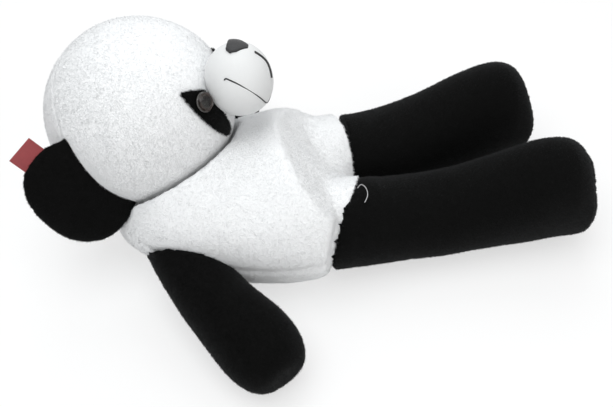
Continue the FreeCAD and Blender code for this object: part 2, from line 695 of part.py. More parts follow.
# ---- ears: flat pouches sewn down the sides of the head
earSections = ["earInside", "earSeam", "earMiddle", "earOuter", "earEdge", "earTip"]
earSlope = 0.15  # inwards and forwards for each step down the side of the head
earDroop = 0.28  # down for each step out from the head
for side, sign in eyeSeats.items():
    chord = Vec(-sign * earSlope, earSlope, -0.977).normalize()
    sweep = deg(f"earSweep{side}")
    outward = Vec(sign * math.cos(sweep), -math.sin(sweep), -earDroop)
    face = chord.cross(outward).normalize()
    outward = face.cross(chord).normalize()
    base = Vec(sign * val("earBaseOut"), -val("earBaseBack"), -val("earBaseDown"))
    earFrame = headFrame.multiply(Place(base, Turn(outward, chord, outward.cross(chord))))
    pouch = softTube(f"ear{side}Pouch", earSections, flush, earFrame)
    foldOut = ball(f"ear{side}FoldOut", "Sizes.headRadius + Sizes.earRootGap")
    foldIn = ball(f"ear{side}FoldIn", "Sizes.headRadius + Sizes.earRootGap - Sizes.seam")
    outerPart = minus(f"ear{side}Outer", pouch, foldOut)
    frontSide = block(f"ear{side}FrontHalf", earFrame, (-far, -far, gap), (far, far, far))
    backSide = block(f"ear{side}BackHalf", earFrame, (-far, -far, -far), (far, far, -gap))
    label = side.lower()
    keep(common(f"ear{side}Upper", outerPart, frontSide), f"ear_{label}_{'back' if sign > 0 else 'front'}")
    keep(common(f"ear{side}Lower", outerPart, backSide), f"ear_{label}_{'front' if sign > 0 else 'back'}")
    root = common(f"ear{side}RootAll", pouch, foldIn)
    keep(minus(f"ear{side}Root", root, headClear), f"ear_{label}_root")
    if side == "Right":
        edge = Vec(val("labelAlong"), -val("labelSide"), 0)
        ribbonFrame = earFrame.multiply(Place(edge, Turn(Vec(0, 0, 1), 90 - val("labelPlace"))))
        ribbon = doc.addObject("Part::Box", "ribbon")
        bind(ribbon, Length="Sizes.labelWidth", Width="Sizes.labelReach + 12", Height="Sizes.labelThick")
        ribbon.Placement = ribbonFrame.multiply(
            Place(Vec(-val("labelWidth") / 2, -val("labelReach"), -val("labelThick") / 2), Turn())
        )
        pouchClear = softTube("pouchClear", earSections, clear, earFrame)
        keep(minus("ribbonSeated", ribbon, pouchClear), "side_label")

# ---- neck: the loosely filled end of the torso that the head sinks into
neckStem = neckPlug("neckStem", "Sizes.neckHole - Sizes.seam")
neckRing = minus(
    "neckRing", common("neckRingAll", torsoOuter, neckDishInside),
    headClear, floorBelow("floorNeck", 0),
)
headPacked = ball("headPacked", "Sizes.headRadius - Sizes.pile")
neckPeg = minus("neckPeg", neckStem, headPacked)
keep(minus("neckZone", union("neckAll", neckRing, neckPeg), pouchClear), "neck_zone")

# ---- arms
armSections = ["armInside", "armRoot", "armUpper", "armElbow"]
armSections += ["armWrist", "armPaw", "armPawFront", "armTip"]
rootLift = val("rootLift")
for side, frame in armFrames.items():
    mirror = -sideSign[side]
    label = side.lower()
    outer = softTube(f"arm{side}Outer", armSections, flush, frame, mirror)
    inner = softTube(f"arm{side}Inner", armSections, inward, frame, mirror)
    core = softTube(f"arm{side}Core", armSections, packed, frame, mirror)
    rootLength = val("armRootLength")
    before = block(f"arm{side}Before", frame, (-far, -far, -far), (rootLength, far, far))
    beyond = block(f"arm{side}Beyond", frame, (rootLength - 2 * gap, -far, -far), (far, far, far))
    shell = minus(f"arm{side}Shell", outer, inner, before)
    top = block(f"arm{side}TopHalf", frame, (-far, -far, gap), (far, far, far))
    under = block(f"arm{side}UnderHalf", frame, (-far, -far, -far), (far, far, -gap))
    keep(common(f"arm{side}Top", shell, top), f"arm_{label}_front_panel")
    keep(common(f"arm{side}Under", shell, under), f"arm_{label}_back_panel")
    keep(minus(f"arm{side}Filling", core, before), f"arm_{label}_stuffing")
    keep(
        minus(f"arm{side}Root", outer, beyond, torsoClear, headClear, floorBelow(f"arm{side}Lift", rootLift)),
        f"arm_{label}_root",
    )

# ---- legs
legSections = ["legStart", "legThigh", "legShin", "legAnkle"]
legSections += ["legInstep", "legToe", "legToeFront", "legSole"]
soleSections = ["legToeFront", "legSole", "soleMiddle", "soleCrown", "soleTop"]
hipSections = ["hipInside", "hipSeam", "legThigh", "legShin"]
for side, frame in legFrames.items():
    label = side.lower()
    outer = softTube(f"leg{side}Outer", legSections, flush, frame, 1, (True, False))
    inner = softTube(f"leg{side}Inner", legSections, inward, frame, 1, (True, False))
    core = softTube(f"leg{side}Core", legSections, packed, frame, 1, (True, False))
    rootLength = val("legRootLength")
    before = block(f"leg{side}Before", frame, (-far, -far, -far), (rootLength, far, far))
    beyond = block(f"leg{side}Beyond", frame, (rootLength - 2 * gap, -far, -far), (far, far, far))
    shell = minus(f"leg{side}Shell", outer, inner, before)
    innerSide = (gap, far) if side == "Right" else (-far, -gap)
    outerSide = (-far, -gap) if side == "Right" else (gap, far)
    inside = block(f"leg{side}InnerHalf", frame, (-far, innerSide[0], -far), (far, innerSide[1], far))
    outside = block(f"leg{side}OuterHalf", frame, (-far, outerSide[0], -far), (far, outerSide[1], far))
    keep(common(f"leg{side}Inside", shell, inside), f"leg_{label}_inner_panel")
    keep(common(f"leg{side}Outside", shell, outside), f"leg_{label}_outer_panel")
    keep(minus(f"leg{side}Filling", core, before), f"leg_{label}_stuffing")
    slant = -val("hipSlantRight") if side == "Right" else val("hipSlantLeft")
    behind = hipBack(f"leg{side}Behind", slant, gap)
    hip = softTube(f"hip{side}Outer", hipSections, flush, frame, -sideSign[side])
    raised = floorBelow(f"leg{side}Lift", rootLift)
    keep(minus(f"leg{side}Root", hip, beyond, behind, raised), f"leg_{label}_root")

    # the sole closes the foot with a shallow bulge
    soleStart = val("legSoleAlong") + 2 * gap
    before = block(f"leg{side}SoleBefore", frame, (-far, -far, -far), (soleStart, far, far))
    bulge = softTube(f"leg{side}SoleBulge", soleSections, flush, frame, 1, (False, False))
    keep(minus(f"leg{side}Sole", bulge, before), f"leg_{label}_sole")

# ---- a loose end of sewing thread that lies over the top of the right leg
threadRoute = [
    Vec(86.9, -58.2, 136.9),
    Vec(90.2, -55.6, 140.8),
    Vec(94.4, -58.6, 142.0),
    Vec(97.2, -65.0, 140.6),
    Vec(97.0, -72.2, 138.6),
    Vec(94.0, -78.6, 136.6),
    Vec(89.6, -83.2, 135.2),
]
arcShare = 0.45


def roundedRoute(points):
    """Straight runs joined by tangent arcs, each as large as its two runs allow."""
    edges = []
    start = points[0]
    for before, corner, after in zip(points, points[1:], points[2:]):
        reach = arcShare * min((before - corner).Length, (after - corner).Length)
        inward = (before - corner).normalize()
        outward = (after - corner).normalize()
        halfTurn = (math.pi - inward.getAngle(outward)) / 2
        radius = reach / math.tan(halfTurn)
        arcStart = corner + inward * reach
        arcEnd = corner + outward * reach
        middle = corner + (inward + outward).normalize() * (radius / math.cos(halfTurn) - radius)
        edges.append(Part.LineSegment(start, arcStart).toShape())
        edges.append(Part.Arc(arcStart, middle, arcEnd).toShape())
        print("thread bend radius:", round(radius, 1))
        start = arcEnd
    edges.append(Part.LineSegment(start, points[-1]).toShape())
    return Part.Wire(edges)


route = roundedRoute(threadRoute)
threadEnd = Part.Wire(
    Part.makeCircle(val("threadWide") / 2, threadRoute[0], threadRoute[1] - threadRoute[0])
)
thread = doc.addObject("Part::Feature", "thread")
thread.Shape = route.makePipeShell([threadEnd], True, True)
expected = math.pi * val("threadWide") ** 2 / 4 * route.Length
print("thread volume over its section times its length:", round(thread.Shape.Volume / expected, 4))
keep(thread, "loose_thread")

doc.recompute()

for item in doc.Objects:
    if "Invalid" in item.State or "Error" in item.State:
        raise RuntimeError(f"{item.Label} did not compute: {item.State}")
for item in subParts:
    shape = item.Shape
    if shape.isNull() or not shape.isValid() or not shape.Solids:
        raise RuntimeError(f"{item.Label} has no valid solid")
    if len(shape.Solids) != 1:
        print("note:", item.Label, "has", len(shape.Solids), "solids")
    shape.exportStep(f"parts/{item.Label}.step")
print("sub-parts written:", len(subParts))
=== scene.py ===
import math
import bmesh
import bpy
import numpy as np
from mathutils import Euler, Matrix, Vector
from mathutils.bvhtree import BVHTree
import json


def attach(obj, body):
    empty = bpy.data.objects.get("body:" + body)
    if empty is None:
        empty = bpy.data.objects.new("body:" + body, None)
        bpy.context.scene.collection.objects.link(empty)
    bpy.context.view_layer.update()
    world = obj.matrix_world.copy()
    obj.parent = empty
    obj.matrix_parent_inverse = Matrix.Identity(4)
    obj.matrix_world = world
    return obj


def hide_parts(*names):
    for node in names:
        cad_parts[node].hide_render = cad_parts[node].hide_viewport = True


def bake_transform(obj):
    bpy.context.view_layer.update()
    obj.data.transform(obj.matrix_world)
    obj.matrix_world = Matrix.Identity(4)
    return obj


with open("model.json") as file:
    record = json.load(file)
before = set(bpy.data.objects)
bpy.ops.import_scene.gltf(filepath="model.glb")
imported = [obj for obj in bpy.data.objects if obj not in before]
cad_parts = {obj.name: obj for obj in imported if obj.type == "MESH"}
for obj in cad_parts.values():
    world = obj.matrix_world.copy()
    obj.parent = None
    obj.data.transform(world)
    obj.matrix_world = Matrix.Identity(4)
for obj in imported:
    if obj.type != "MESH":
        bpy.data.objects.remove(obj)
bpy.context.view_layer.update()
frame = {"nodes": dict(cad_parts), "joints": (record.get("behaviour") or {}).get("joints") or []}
nodes = frame["nodes"]
joints = {joint["name"]: joint for joint in frame["joints"]}
sides = {"right": -1, "left": 1}  # the sign of y on that side of the toy
print("frame loaded")


# camera and lights
camera = {
    "place": (-0.160, -0.7527, 0.9446), "aim": (0, 0, 0.09),
    "lens": 47.86, "shift": (0.0351, -0.0220),
}
lamps = {
    "window": {"place": (-0.5, -0.2, 2.0), "size": 1.6, "watts": 24, "colour": (0.965, 0.99, 1)},
    "fill": {"place": (1.3, -1.5, 1.3), "size": 1.8, "watts": 13, "colour": (1, 0.99, 0.975)},
    "rim": {"place": (0.4, 1.3, 1.5), "size": 1.4, "watts": 10, "colour": (0.95, 0.98, 1)},
}
room = {"ambient": 0.6, "floor": (0.93, 0.93, 0.93), "floorGlow": 0.6, "floorSize": 12}


def newObject(name, data):
    item = bpy.data.objects.new(name, data)
    bpy.context.scene.collection.objects.link(item)
    return item


def aimedObject(name, data, place):
    item = newObject(name, data)
    item.location = place
    way = Vector(camera["aim"]) - item.location
    item.rotation_euler = way.to_track_quat("-Z", "Y").to_euler()
    return item


lensData = bpy.data.cameras.new("camera")
lensData.lens = camera["lens"]
lensData.shift_x, lensData.shift_y = camera["shift"]
bpy.context.scene.camera = aimedObject("camera", lensData, camera["place"])
bpy.context.scene.view_settings.view_transform = "Standard"

for name, lamp in lamps.items():
    light = bpy.data.lights.new(name, "AREA")
    light.size = lamp["size"]
    light.energy = lamp["watts"]
    light.color = lamp["colour"]
    aimedObject(name, light, lamp["place"])


# shader maths written as expressions
class Line:
    def __init__(self, finish, socket):
        self.finish = finish
        self.socket = socket

    def maths(self, operation, first, second):
        return self.finish.add("ShaderNodeMath", {"operation": operation}, {0: first, 1: second})

    def __add__(self, other):
        return self.maths("ADD", self, other)

    def __radd__(self, other):
        return self.maths("ADD", other, self)

    def __mul__(self, other):
        return self.maths("MULTIPLY", self, other)

    def __rmul__(self, other):
        return self.maths("MULTIPLY", other, self)


class Finish:
    def __init__(self, name):
        self.material = bpy.data.materials.new(name)
        self.material.use_nodes = True
        self.tree = self.material.node_tree
        self.tree.nodes.clear()

    def add(self, kind, settings=None, inputs=None, output=0):
        node = self.tree.nodes.new(kind)
        for key, value in (settings or {}).items():
            if key == "stops":
                self.setStops(node.color_ramp, value)
            else:
                setattr(node, key, value)
        for key, value in (inputs or {}).items():
            socket = node.inputs[key]
            if isinstance(value, Line):
                self.tree.links.new(value.socket, socket)
            else:
                socket.default_value = value
        return Line(self, node.outputs[output])

    def setStops(self, ramp, stops):
        while len(ramp.elements) < len(stops):
            ramp.elements.new(0.5)
        for element, (place, colour) in zip(ramp.elements, stops):
            element.position = place
            element.color = colour

    def place(self):
        return self.add("ShaderNodeTexCoord", output=3)  # object coordinates

    def noise(self, scale, detail):
        inputs = {"Vector": self.place(), "Scale": scale, "Detail": detail}
        return self.add("ShaderNodeTexNoise", {}, inputs)

    def mix(self, factor, first, second):
        inputs = {0: factor, 6: first, 7: second}
        return self.add("ShaderNodeMix", {"data_type": "RGBA"}, inputs, output=2)

    def bump(self, height, strength, distance):
        inputs = {"Height": height, "Strength": strength, "Distance": distance}
        return self.add("ShaderNodeBump", {}, inputs)

    def vector(self, operation, *values, output=0):
        inputs = dict(enumerate(values))
        return self.add("ShaderNodeVectorMath", {"operation": operation}, inputs, output)

    def toSurface(self, shader):
        output = self.tree.nodes.new("ShaderNodeOutputMaterial")
        self.tree.links.new(shader.socket, output.inputs["Surface"])
        return self.material

    def done(self, inputs):
        return self.toSurface(self.add("ShaderNodeBsdfPrincipled", {}, inputs))


def rgb(red, green, blue):
    return (red, green, blue, 1.0)


# plush, with painted shade: darker at the roots of the pile and on the skin between the tufts; a
# little mottled
whiteCoat = {
    "pile": rgb(0.925, 0.935, 0.945), "shadow": rgb(0.885, 0.895, 0.91),
    # root: painted shade at the foot of the pile and on the skin between the tufts
    "root": rgb(0.86, 0.865, 0.87), "mottleScale": 22, "grainScale": 420, "shine": 0.1,
    "sheen": 0.25, "sheenRough": 0.5, "sheenTint": rgb(1, 1, 1),
}
blackCoat = {
    "pile": rgb(0.0052, 0.0053, 0.0048), "shadow": rgb(0.0036, 0.0037, 0.0034),
    # root: painted shade at the foot of the pile and on the skin between the tufts
    "root": rgb(0.002, 0.002, 0.002), "mottleScale": 30, "grainScale": 600, "shine": 0.08,
    "sheen": 0.06, "sheenRough": 0.45, "sheenTint": rgb(0.75, 0.77, 0.8),
}


def plushFinish(name, coat):
    finish = Finish(name)
    tip = finish.add("ShaderNodeAttribute", {"attribute_name": "tip"}, output=2)
    hue = finish.add("ShaderNodeAttribute", {"attribute_name": "hue"}, output=2)
    broad = finish.noise(coat["mottleScale"], 4.0)
    fine = finish.noise(coat["grainScale"], 2.0)
    shade = finish.mix(broad, coat["shadow"], coat["pile"])
    return finish.done({
        # painted shade: the blade roots and the skin below them take the darker root colour
        "Base Color": finish.mix(tip * 0.5 + hue * 0.3 + fine * 0.3, coat["root"], shade),
        "Roughness": 0.85,
        "Specular IOR Level": coat["shine"],
        "Sheen Weight": coat["sheen"],
        "Sheen Roughness": coat["sheenRough"],
        "Sheen Tint": coat["sheenTint"],
        "Normal": finish.bump(fine, 0.5, 0.0015),
    })


whitePlush = plushFinish("whitePlush", whiteCoat)
blackPlush = plushFinish("blackPlush", blackCoat)


# plain cloth: short velvet on the muzzle, a matt weave on the nose
velvet = {
    "dark": rgb(0.68, 0.685, 0.685), "light": rgb(0.76, 0.765, 0.765),
    "broad": (18, 3.0), "fine": (900, 2.0), "shares": (0.7, 0.3), "bump": (0.35, 0.0006),
    "rough": 0.8, "sheen": 0.15, "sheenRough": 0.4, "shine": 0.15,
}
noseWeave = {
    "dark": rgb(0.010, 0.010, 0.011), "light": rgb(0.026, 0.026, 0.028),
    "broad": (60, 2.0), "fine": (1500, 2.0), "shares": (0.5, 0.5), "bump": (0.5, 0.0004),
    "rough": 0.55, "sheen": 0.15, "sheenRough": 0.35, "shine": 0.5,
}


def clothFinish(name, cloth):
    finish = Finish(name)
    broad = finish.noise(*cloth["broad"])
    fine = finish.noise(*cloth["fine"])
    shade = broad * cloth["shares"][0] + fine * cloth["shares"][1]
    return finish.done({
        "Base Color": finish.mix(shade, cloth["dark"], cloth["light"]),
        "Roughness": cloth["rough"],
        "Sheen Weight": cloth["sheen"],
        "Sheen Roughness": cloth["sheenRough"],
        "Specular IOR Level": cloth["shine"],
        "Normal": finish.bump(fine, *cloth["bump"]),
    })


def threadFinish(name, dark, light, twist):
    finish = Finish(name)
    inputs = {"Vector": finish.place(), "Scale": twist, "Distortion": 1.5}
    strands = finish.add("ShaderNodeTexWave", {"bands_direction": "DIAGONAL"}, inputs)
    return finish.done({
        "Base Color": finish.mix(strands, dark, light),
        "Roughness": 0.6,
        "Sheen Weight": 0.2,
        "Normal": finish.bump(strands, 0.6, 0.0005),
    })


def ribbonFinish(name, dark, light):
    finish = Finish(name)
    across = finish.add("ShaderNodeUVMap", {"uv_map": "weave"})
    warpSetting, weftSetting = {"bands_direction": "X"}, {"bands_direction": "Y"}
    warp = finish.add("ShaderNodeTexWave", warpSetting, {"Vector": across, "Scale": 18.0})
    weft = finish.add("ShaderNodeTexWave", weftSetting, {"Vector": across, "Scale": 22.0})
    weave = warp * 0.5 + weft * 0.5
    worn = finish.noise(120, 3.0)
    return finish.done({
        "Base Color": finish.mix(weave * 0.6 + worn * 0.4, dark, light),
        "Roughness": 0.5,
        "Sheen Weight": 0.3,
        "Normal": finish.bump(weave, 0.6, 0.0004),
    })


paleVelvet = clothFinish("paleVelvet", velvet)
noseCloth = clothFinish("noseCloth", noseWeave)
blackThread = threadFinish("blackThread", rgb(0.006, 0.006, 0.006), rgb(0.02, 0.02, 0.02), 260)
whiteThread = threadFinish("whiteThread", rgb(0.45, 0.45, 0.46), rgb(0.72, 0.72, 0.73), 900)
redRibbon = ribbonFinish("redRibbon", rgb(0.20, 0.018, 0.022), rgb(0.38, 0.045, 0.05))


# the floor, seen almost white, and the air round it
bpy.ops.mesh.primitive_plane_add(size=room["floorSize"], location=(0, 0, 0))
floor = bpy.context.object
floor.name = "floor"
floorFinish = Finish("paleFloor")
seen = floorFinish.add("ShaderNodeLightPath", output=0)
matt = floorFinish.add("ShaderNodeBsdfDiffuse", {}, {"Color": rgb(*room["floor"])})
glow = floorFinish.add("ShaderNodeEmission", {}, {"Color": rgb(1, 1, 1), "Strength": 1.0})
lit = floorFinish.add("ShaderNodeMixShader", {}, {0: seen * room["floorGlow"], 1: matt, 2: glow})
floor.data.materials.append(floorFinish.toSurface(lit))

world = bpy.data.worlds.new("room")
bpy.context.scene.world = world
world.use_nodes = True
air = world.node_tree
air.nodes.clear()
path = air.nodes.new("ShaderNodeLightPath")
ambient = air.nodes.new("ShaderNodeBackground")
ambient.inputs["Strength"].default_value = room["ambient"]
white = air.nodes.new("ShaderNodeBackground")
choice = air.nodes.new("ShaderNodeMixShader")
ending = air.nodes.new("ShaderNodeOutputWorld")
air.links.new(path.outputs["Is Camera Ray"], choice.inputs[0])
air.links.new(ambient.outputs[0], choice.inputs[1])
air.links.new(white.outputs[0], choice.inputs[2])
air.links.new(choice.outputs[0], ending.inputs["Surface"])


# the loose end of thread at the crotch seam
threadPoints = [
    (0.0869, -0.0582, 0.1369), (0.0902, -0.0556, 0.1408), (0.0944, -0.0586, 0.1420),
    (0.0972, -0.0650, 0.1406), (0.0970, -0.0722, 0.1386), (0.0940, -0.0786, 0.1366),
    (0.0896, -0.0832, 0.1352),
]
threadSize = {"diameter": 0.001, "length": 0.0383}


def threadCurve(name, points, diameter, order, steps):
    curve = bpy.data.curves.new(name, "CURVE")
    curve.dimensions = "3D"
    curve.bevel_depth = diameter / 2
    curve.bevel_resolution = 3
    curve.use_fill_caps = True
    curve.resolution_u = steps
    spline = curve.splines.new("NURBS")
    spline.points.add(len(points) - 1)
    for point, place in zip(spline.points, points):
        point.co = (*place, 1)
    spline.order_u = order
    spline.use_endpoint_u = True
    return newObject(name, curve)


looseThread = threadCurve("loose_thread_end", threadPoints, threadSize["diameter"], 3, 8)
looseThread.data.materials.append(whiteThread)
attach(looseThread, "hip_right")
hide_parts("loose_thread")
print("camera, lights and thread placed")


# modelling helpers
def pickNone():
    if bpy.context.object and bpy.context.object.mode != "OBJECT":
        bpy.ops.object.mode_set(mode="OBJECT")
    bpy.ops.object.select_all(action="DESELECT")


def pickOnly(item):
    pickNone()
    item.select_set(True)
    bpy.context.view_layer.objects.active = item


def useModifier(item, kind, **settings):
    pickOnly(item)
    modifier = item.modifiers.new(kind.lower(), kind)
    for key, value in settings.items():
        setattr(modifier, key, value)
    bpy.ops.object.modifier_apply(modifier=modifier.name)


def grow(item, height):
    useModifier(item, "DISPLACE", strength=height, mid_level=0.0)


def settle(item):
    pickOnly(item)
    bpy.ops.object.transform_apply(location=True, rotation=True, scale=True)


def copyOf(name, nodeNames, shift=(0, 0, 0)):
    work = bmesh.new()
    for nodeName in nodeNames:
        work.from_mesh(nodes[nodeName].data)
    bmesh.ops.remove_doubles(work, verts=work.verts, dist=1e-5)
    bmesh.ops.translate(work, verts=work.verts, vec=shift)
    mesh = bpy.data.meshes.new(name)
    work.to_mesh(mesh)
    work.free()
    return newObject(name, mesh)


def joined(name, items):
    pickOnly(items[0])
    for item in items[1:]:
        item.select_set(True)
    bpy.ops.object.join()
    result = bpy.context.object
    result.name = name
    result.data.name = name
    settle(result)
    return result


def ballAt(place, radius):
    pickNone()
    bpy.ops.mesh.primitive_ico_sphere_add(subdivisions=4, radius=radius, location=place)
    item = bpy.context.object
    settle(item)
    return item


def cutOff(item, place, normal):
    pickOnly(item)
    bpy.ops.object.mode_set(mode="EDIT")
    bpy.ops.mesh.select_all(action="SELECT")
    bpy.ops.mesh.bisect(
        plane_co=place, plane_no=normal, use_fill=True, clear_outer=True, clear_inner=False
    )
    bpy.ops.object.mode_set(mode="OBJECT")


def vertexValues(item, field):
    values = np.empty(len(item.data.vertices) * 3)
    item.data.vertices.foreach_get(field, values)
    return values.reshape(-1, 3)


def pointsOf(item):
    return vertexValues(item, "co")


def normalsOf(item):
    return vertexValues(item, "normal")


def setPoints(item, places):
    item.data.vertices.foreach_set("co", places.ravel())
    item.data.update()


def smoothFaces(item):
    item.data.polygons.foreach_set("use_smooth", np.ones(len(item.data.polygons), bool))


def swell(distance, reach):
    return np.exp(-((distance / reach) ** 2))


def unit(vectors):
    return vectors / np.maximum(np.linalg.norm(vectors, axis=-1, keepdims=True), 1e-9)


def turned(degrees):
    return np.array([math.cos(math.radians(degrees)), math.sin(math.radians(degrees)), 0.0])


def remeshed(item, voxel, smoothing):
    useModifier(item, "REMESH", mode="VOXEL", voxel_size=voxel, use_smooth_shade=True)
    useModifier(item, "SMOOTH", factor=0.5, iterations=smoothing)


def rumple(item, height, wave, seed, turns=9):  # low waves in random directions
    places = pointsOf(item)
    rng = np.random.default_rng(seed)
    total = np.zeros(len(places))
    for turn in range(turns):
        direction = unit(rng.normal(size=3))
        pace = 0.6 + 0.15 * turn
        total += np.sin(places @ direction * (2 * math.pi / wave) * pace + rng.random() * 6.28)
    setPoints(item, places + normalsOf(item) * (total / turns * height)[:, None])


def dressed(item, material):
    item.data.materials.clear()
    item.data.materials.append(material)
    print(item.name, len(item.data.polygons), "faces")


# pile, one thin triangle for each tuft, combed and a little stray
whiteFur = {
    "length": 0.0038, "width": 0.0008, "spacing": 0.0015, "lean": 73, "stray": 0.5, "ruffle": 0.04,
}
blackFur = {
    "length": 0.0030, "width": 0.0010, "spacing": 0.0016, "lean": 60, "stray": 0.45, "ruffle": 0.16,
}
tuft = {"shortest": 0.7, "longer": 0.5, "leanSpread": 10, "sunk": 0.1, "shadeLean": 0.25}


def furLike(base, seed, most):
    return {**base, "seed": seed, "most": most}


def alongComb(way):
    def comb(roots):
        return np.tile(way, (len(roots), 1))
    return comb


def awayComb(centre, drift):
    def comb(roots):
        return unit(roots - centre) + drift
    return comb


def tuftRoots(skin, coat, rng, bare):
    skin.data.calc_loop_triangles()
    triangles = skin.data.loop_triangles
    corners = np.empty(len(triangles) * 3, np.int64)
    triangles.foreach_get("vertices", corners)
    corners = corners.reshape(-1, 3)
    places, normals = pointsOf(skin), normalsOf(skin)
    first, second, third = (places[corners[:, k]] for k in range(3))
    areas = np.linalg.norm(np.cross(second - first, third - first), axis=1) / 2
    count = min(int(areas.sum() / coat["spacing"] ** 2), coat["most"])
    picked = rng.choice(len(corners), size=count, p=areas / areas.sum())
    share = rng.random((count, 2))
    over = share.sum(axis=1) > 1
    share[over] = 1 - share[over]
    weights = np.c_[1 - share.sum(axis=1), share]
    roots = np.einsum("ij,ijk->ik", weights, places[corners[picked]])
    outward = unit(np.einsum("ij,ijk->ik", weights, normals[corners[picked]]))
    for other, margin in bare:  # no pile under a piece that is sewn on
        tree = BVHTree.FromObject(other, bpy.context.evaluated_depsgraph_get())
        clear = np.array([tree.find_nearest(Vector(p), margin)[0] is None for p in roots])
        roots, outward = roots[clear], outward[clear]
    return roots, outward


def tuftMesh(corners, hue):
    count = len(hue)
    fur = bpy.data.meshes.new("fur")
    fur.vertices.add(3 * count)
    fur.vertices.foreach_set("co", corners.ravel())
    fur.loops.add(3 * count)
    fur.loops.foreach_set("vertex_index", np.arange(3 * count, dtype=np.int32))
    fur.polygons.add(count)
    fur.polygons.foreach_set("loop_start", np.arange(0, 3 * count, 3, dtype=np.int32))
    fur.update(calc_edges=True)
    tips = fur.attributes.new("tip", "FLOAT", "POINT")
    tips.data.foreach_set("value", np.tile([0.0, 0.0, 1.0], count))
    hues = fur.attributes.new("hue", "FLOAT", "POINT")
    hues.data.foreach_set("value", np.repeat(hue, 3))
    return newObject("fur", fur)


def furred(skin, coat, comb, bare=()):
    skinNormals = normalsOf(skin)
    rng = np.random.default_rng(coat["seed"])
    roots, outward = tuftRoots(skin, coat, rng, bare)
    count = len(roots)
    flow = comb(roots)
    flow += rng.normal(size=(count, 3)) * coat["stray"]
    flow = unit(flow - outward * np.einsum("ij,ij->i", flow, outward)[:, None])
    length = coat["length"] * (tuft["shortest"] + tuft["longer"] * rng.random(count))[:, None]
    lean = np.radians(coat["lean"] + tuft["leanSpread"] * rng.normal(size=count))[:, None]
    half = np.cross(outward, flow) * coat["width"] / 2
    ends = roots + (outward * np.cos(lean) + flow * np.sin(lean)) * length
    sunk = roots - outward * coat["length"] * tuft["sunk"]
    fur = tuftMesh(np.stack([sunk + half, sunk - half, ends], axis=1), rng.random(count))
    for attribute in ("tip", "hue"):
        skin.data.attributes.new(attribute, "FLOAT", "POINT")
    ruffle = rng.normal(size=(count, 3)) * coat["ruffle"]
    shading = unit(outward + flow * tuft["shadeLean"] + ruffle)
    skin = joined(skin.name, [skin, fur])
    smoothFaces(skin)
    smooth = np.r_[skinNormals, np.repeat(shading, 3, axis=0)]
    skin.data.normals_split_custom_set_from_vertices(smooth.tolist())
    return skin


# the head's own axes, from the joints of the neck
def jointPlace(name):
    return np.array(joints[name]["pos_m"])


headBall = {"radius": 0.131, "neckDepth": 0.9}  # the neck's joint lies at that share of the radius
crown = -np.array(joints["neck_turn"]["axis"])
headRight = np.array(joints["neck_nod"]["axis"])
faceWay = np.cross(crown, headRight)
headRadius = headBall["radius"]
headCentre = jointPlace("neck_turn") + crown * headRadius * headBall["neckDepth"]
headAxes = np.array([headRight, faceWay, crown])


# torso, neck and the white part of the hips in one skin
torsoShape = {
    "voxel": 0.004, "smoothing": 22, "crotch": (0.104, 0.002, 0.078), "valley": (0.72, 0, 0.69),
    "neckSunk": 0.001, "tubeEnd": 0.075, "pile": 0.0018, "rumple": 0.0012, "wave": 0.07, "seed": 3,
    "sideSeam": 0.088, "seamDeep": 0.0022, "hipDeep": 0.0012, "neckStart": 0.026, "neckEnd": 0.035,
}
hipShape = {
    "right": {"slant": -28, "turn": -2.1, "lean": -0.13, "start": 0.105, "deep": -0.07},
    "left": {"slant": 7, "turn": 7.4, "lean": -0.04, "start": 0.104, "deep": -0.03},
}
legShape = {
    "tubeWide": 0.0622, "tubeTall": 0.0672, "tubeLift": 0.007, "tubeEnd": 0.035,
    "tubeUnder": 0.0055, "tubeShorter": 0.005, "ballRadius": 0.054, "ballLift": 0.006,
    "voxel": 0.0035, "smoothing": 8, "pile": 0.0015, "rumple": 0.0016, "wave": 0.09, "seed": 5,
    "bendStart": 0.045, "bendEnd": 0.110,
}


def legTube(side, start, end, under=0.0):
    hip = jointPlace(f"leg_{side}_raise")
    along = turned(hipShape[side]["turn"])
    middle = hip + along * (start + end) / 2 + np.array([0, 0, legShape["tubeLift"]])
    pickNone()
    bpy.ops.mesh.primitive_cylinder_add(vertices=64, radius=1, depth=1, location=middle)
    tube = bpy.context.object
    tube.rotation_euler = (0, math.pi / 2, math.radians(hipShape[side]["turn"]))
    tube.scale = (legShape["tubeTall"] - under, legShape["tubeWide"] - under, end - start)
    settle(tube)
    return tube


def seamWay(side):
    return unit(turned(hipShape[side]["slant"]) + np.array([0, 0, hipShape[side]["lean"]]))


def seamPlace(side):
    return np.array([hipShape[side]["start"], *torsoShape["crotch"][1:]])


def seamDistance(side, places):
    return (places - seamPlace(side)) @ seamWay(side)


def drawSeams(skin):
    places, normals = pointsOf(skin), normalsOf(skin)
    aside = places[:, 1]
    groove = swell(places[:, 2] - torsoShape["sideSeam"], 0.005) * (np.abs(aside) > 0.05)
    groove *= torsoShape["seamDeep"]
    for side, sign in sides.items():
        near = swell(seamDistance(side, places), 0.008) * (aside * sign > -0.01)
        puckers = 1 + 0.3 * np.sin(aside * 620) * np.sin(places[:, 2] * 480)
        groove += near * torsoShape["hipDeep"] * puckers
    setPoints(skin, places - normals * groove[:, None])


def buildTorso():
    panels = ["torso_front_panel", "torso_back_right_panel", "torso_back_left_panel"]
    skin = copyOf("torso_skin", ["torso_stuffing"] + panels)
    cutOff(skin, torsoShape["crotch"], torsoShape["valley"])
    tubes = [legTube(side, hipShape[side]["deep"], torsoShape["tubeEnd"]) for side in sides]
    neckCopy = copyOf("neckCopy", ["neck_zone"])
    grow(neckCopy, -torsoShape["neckSunk"])
    skin = joined("torso_skin", [skin, neckCopy] + tubes)
    remeshed(skin, torsoShape["voxel"], torsoShape["smoothing"])
    grow(skin, -torsoShape["pile"])
    rumple(skin, torsoShape["rumple"], torsoShape["wave"], torsoShape["seed"])
    drawSeams(skin)
    for side in sides:
        cutOff(skin, seamPlace(side), seamWay(side))
    skin = furred(skin, furLike(whiteFur, 11, 122000), alongComb([0.75, 0.1, -0.25]))
    dressed(skin, whitePlush)
    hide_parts(*panels, "torso_stuffing", "neck_zone")
    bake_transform(skin)


buildTorso()
print("torso ready")


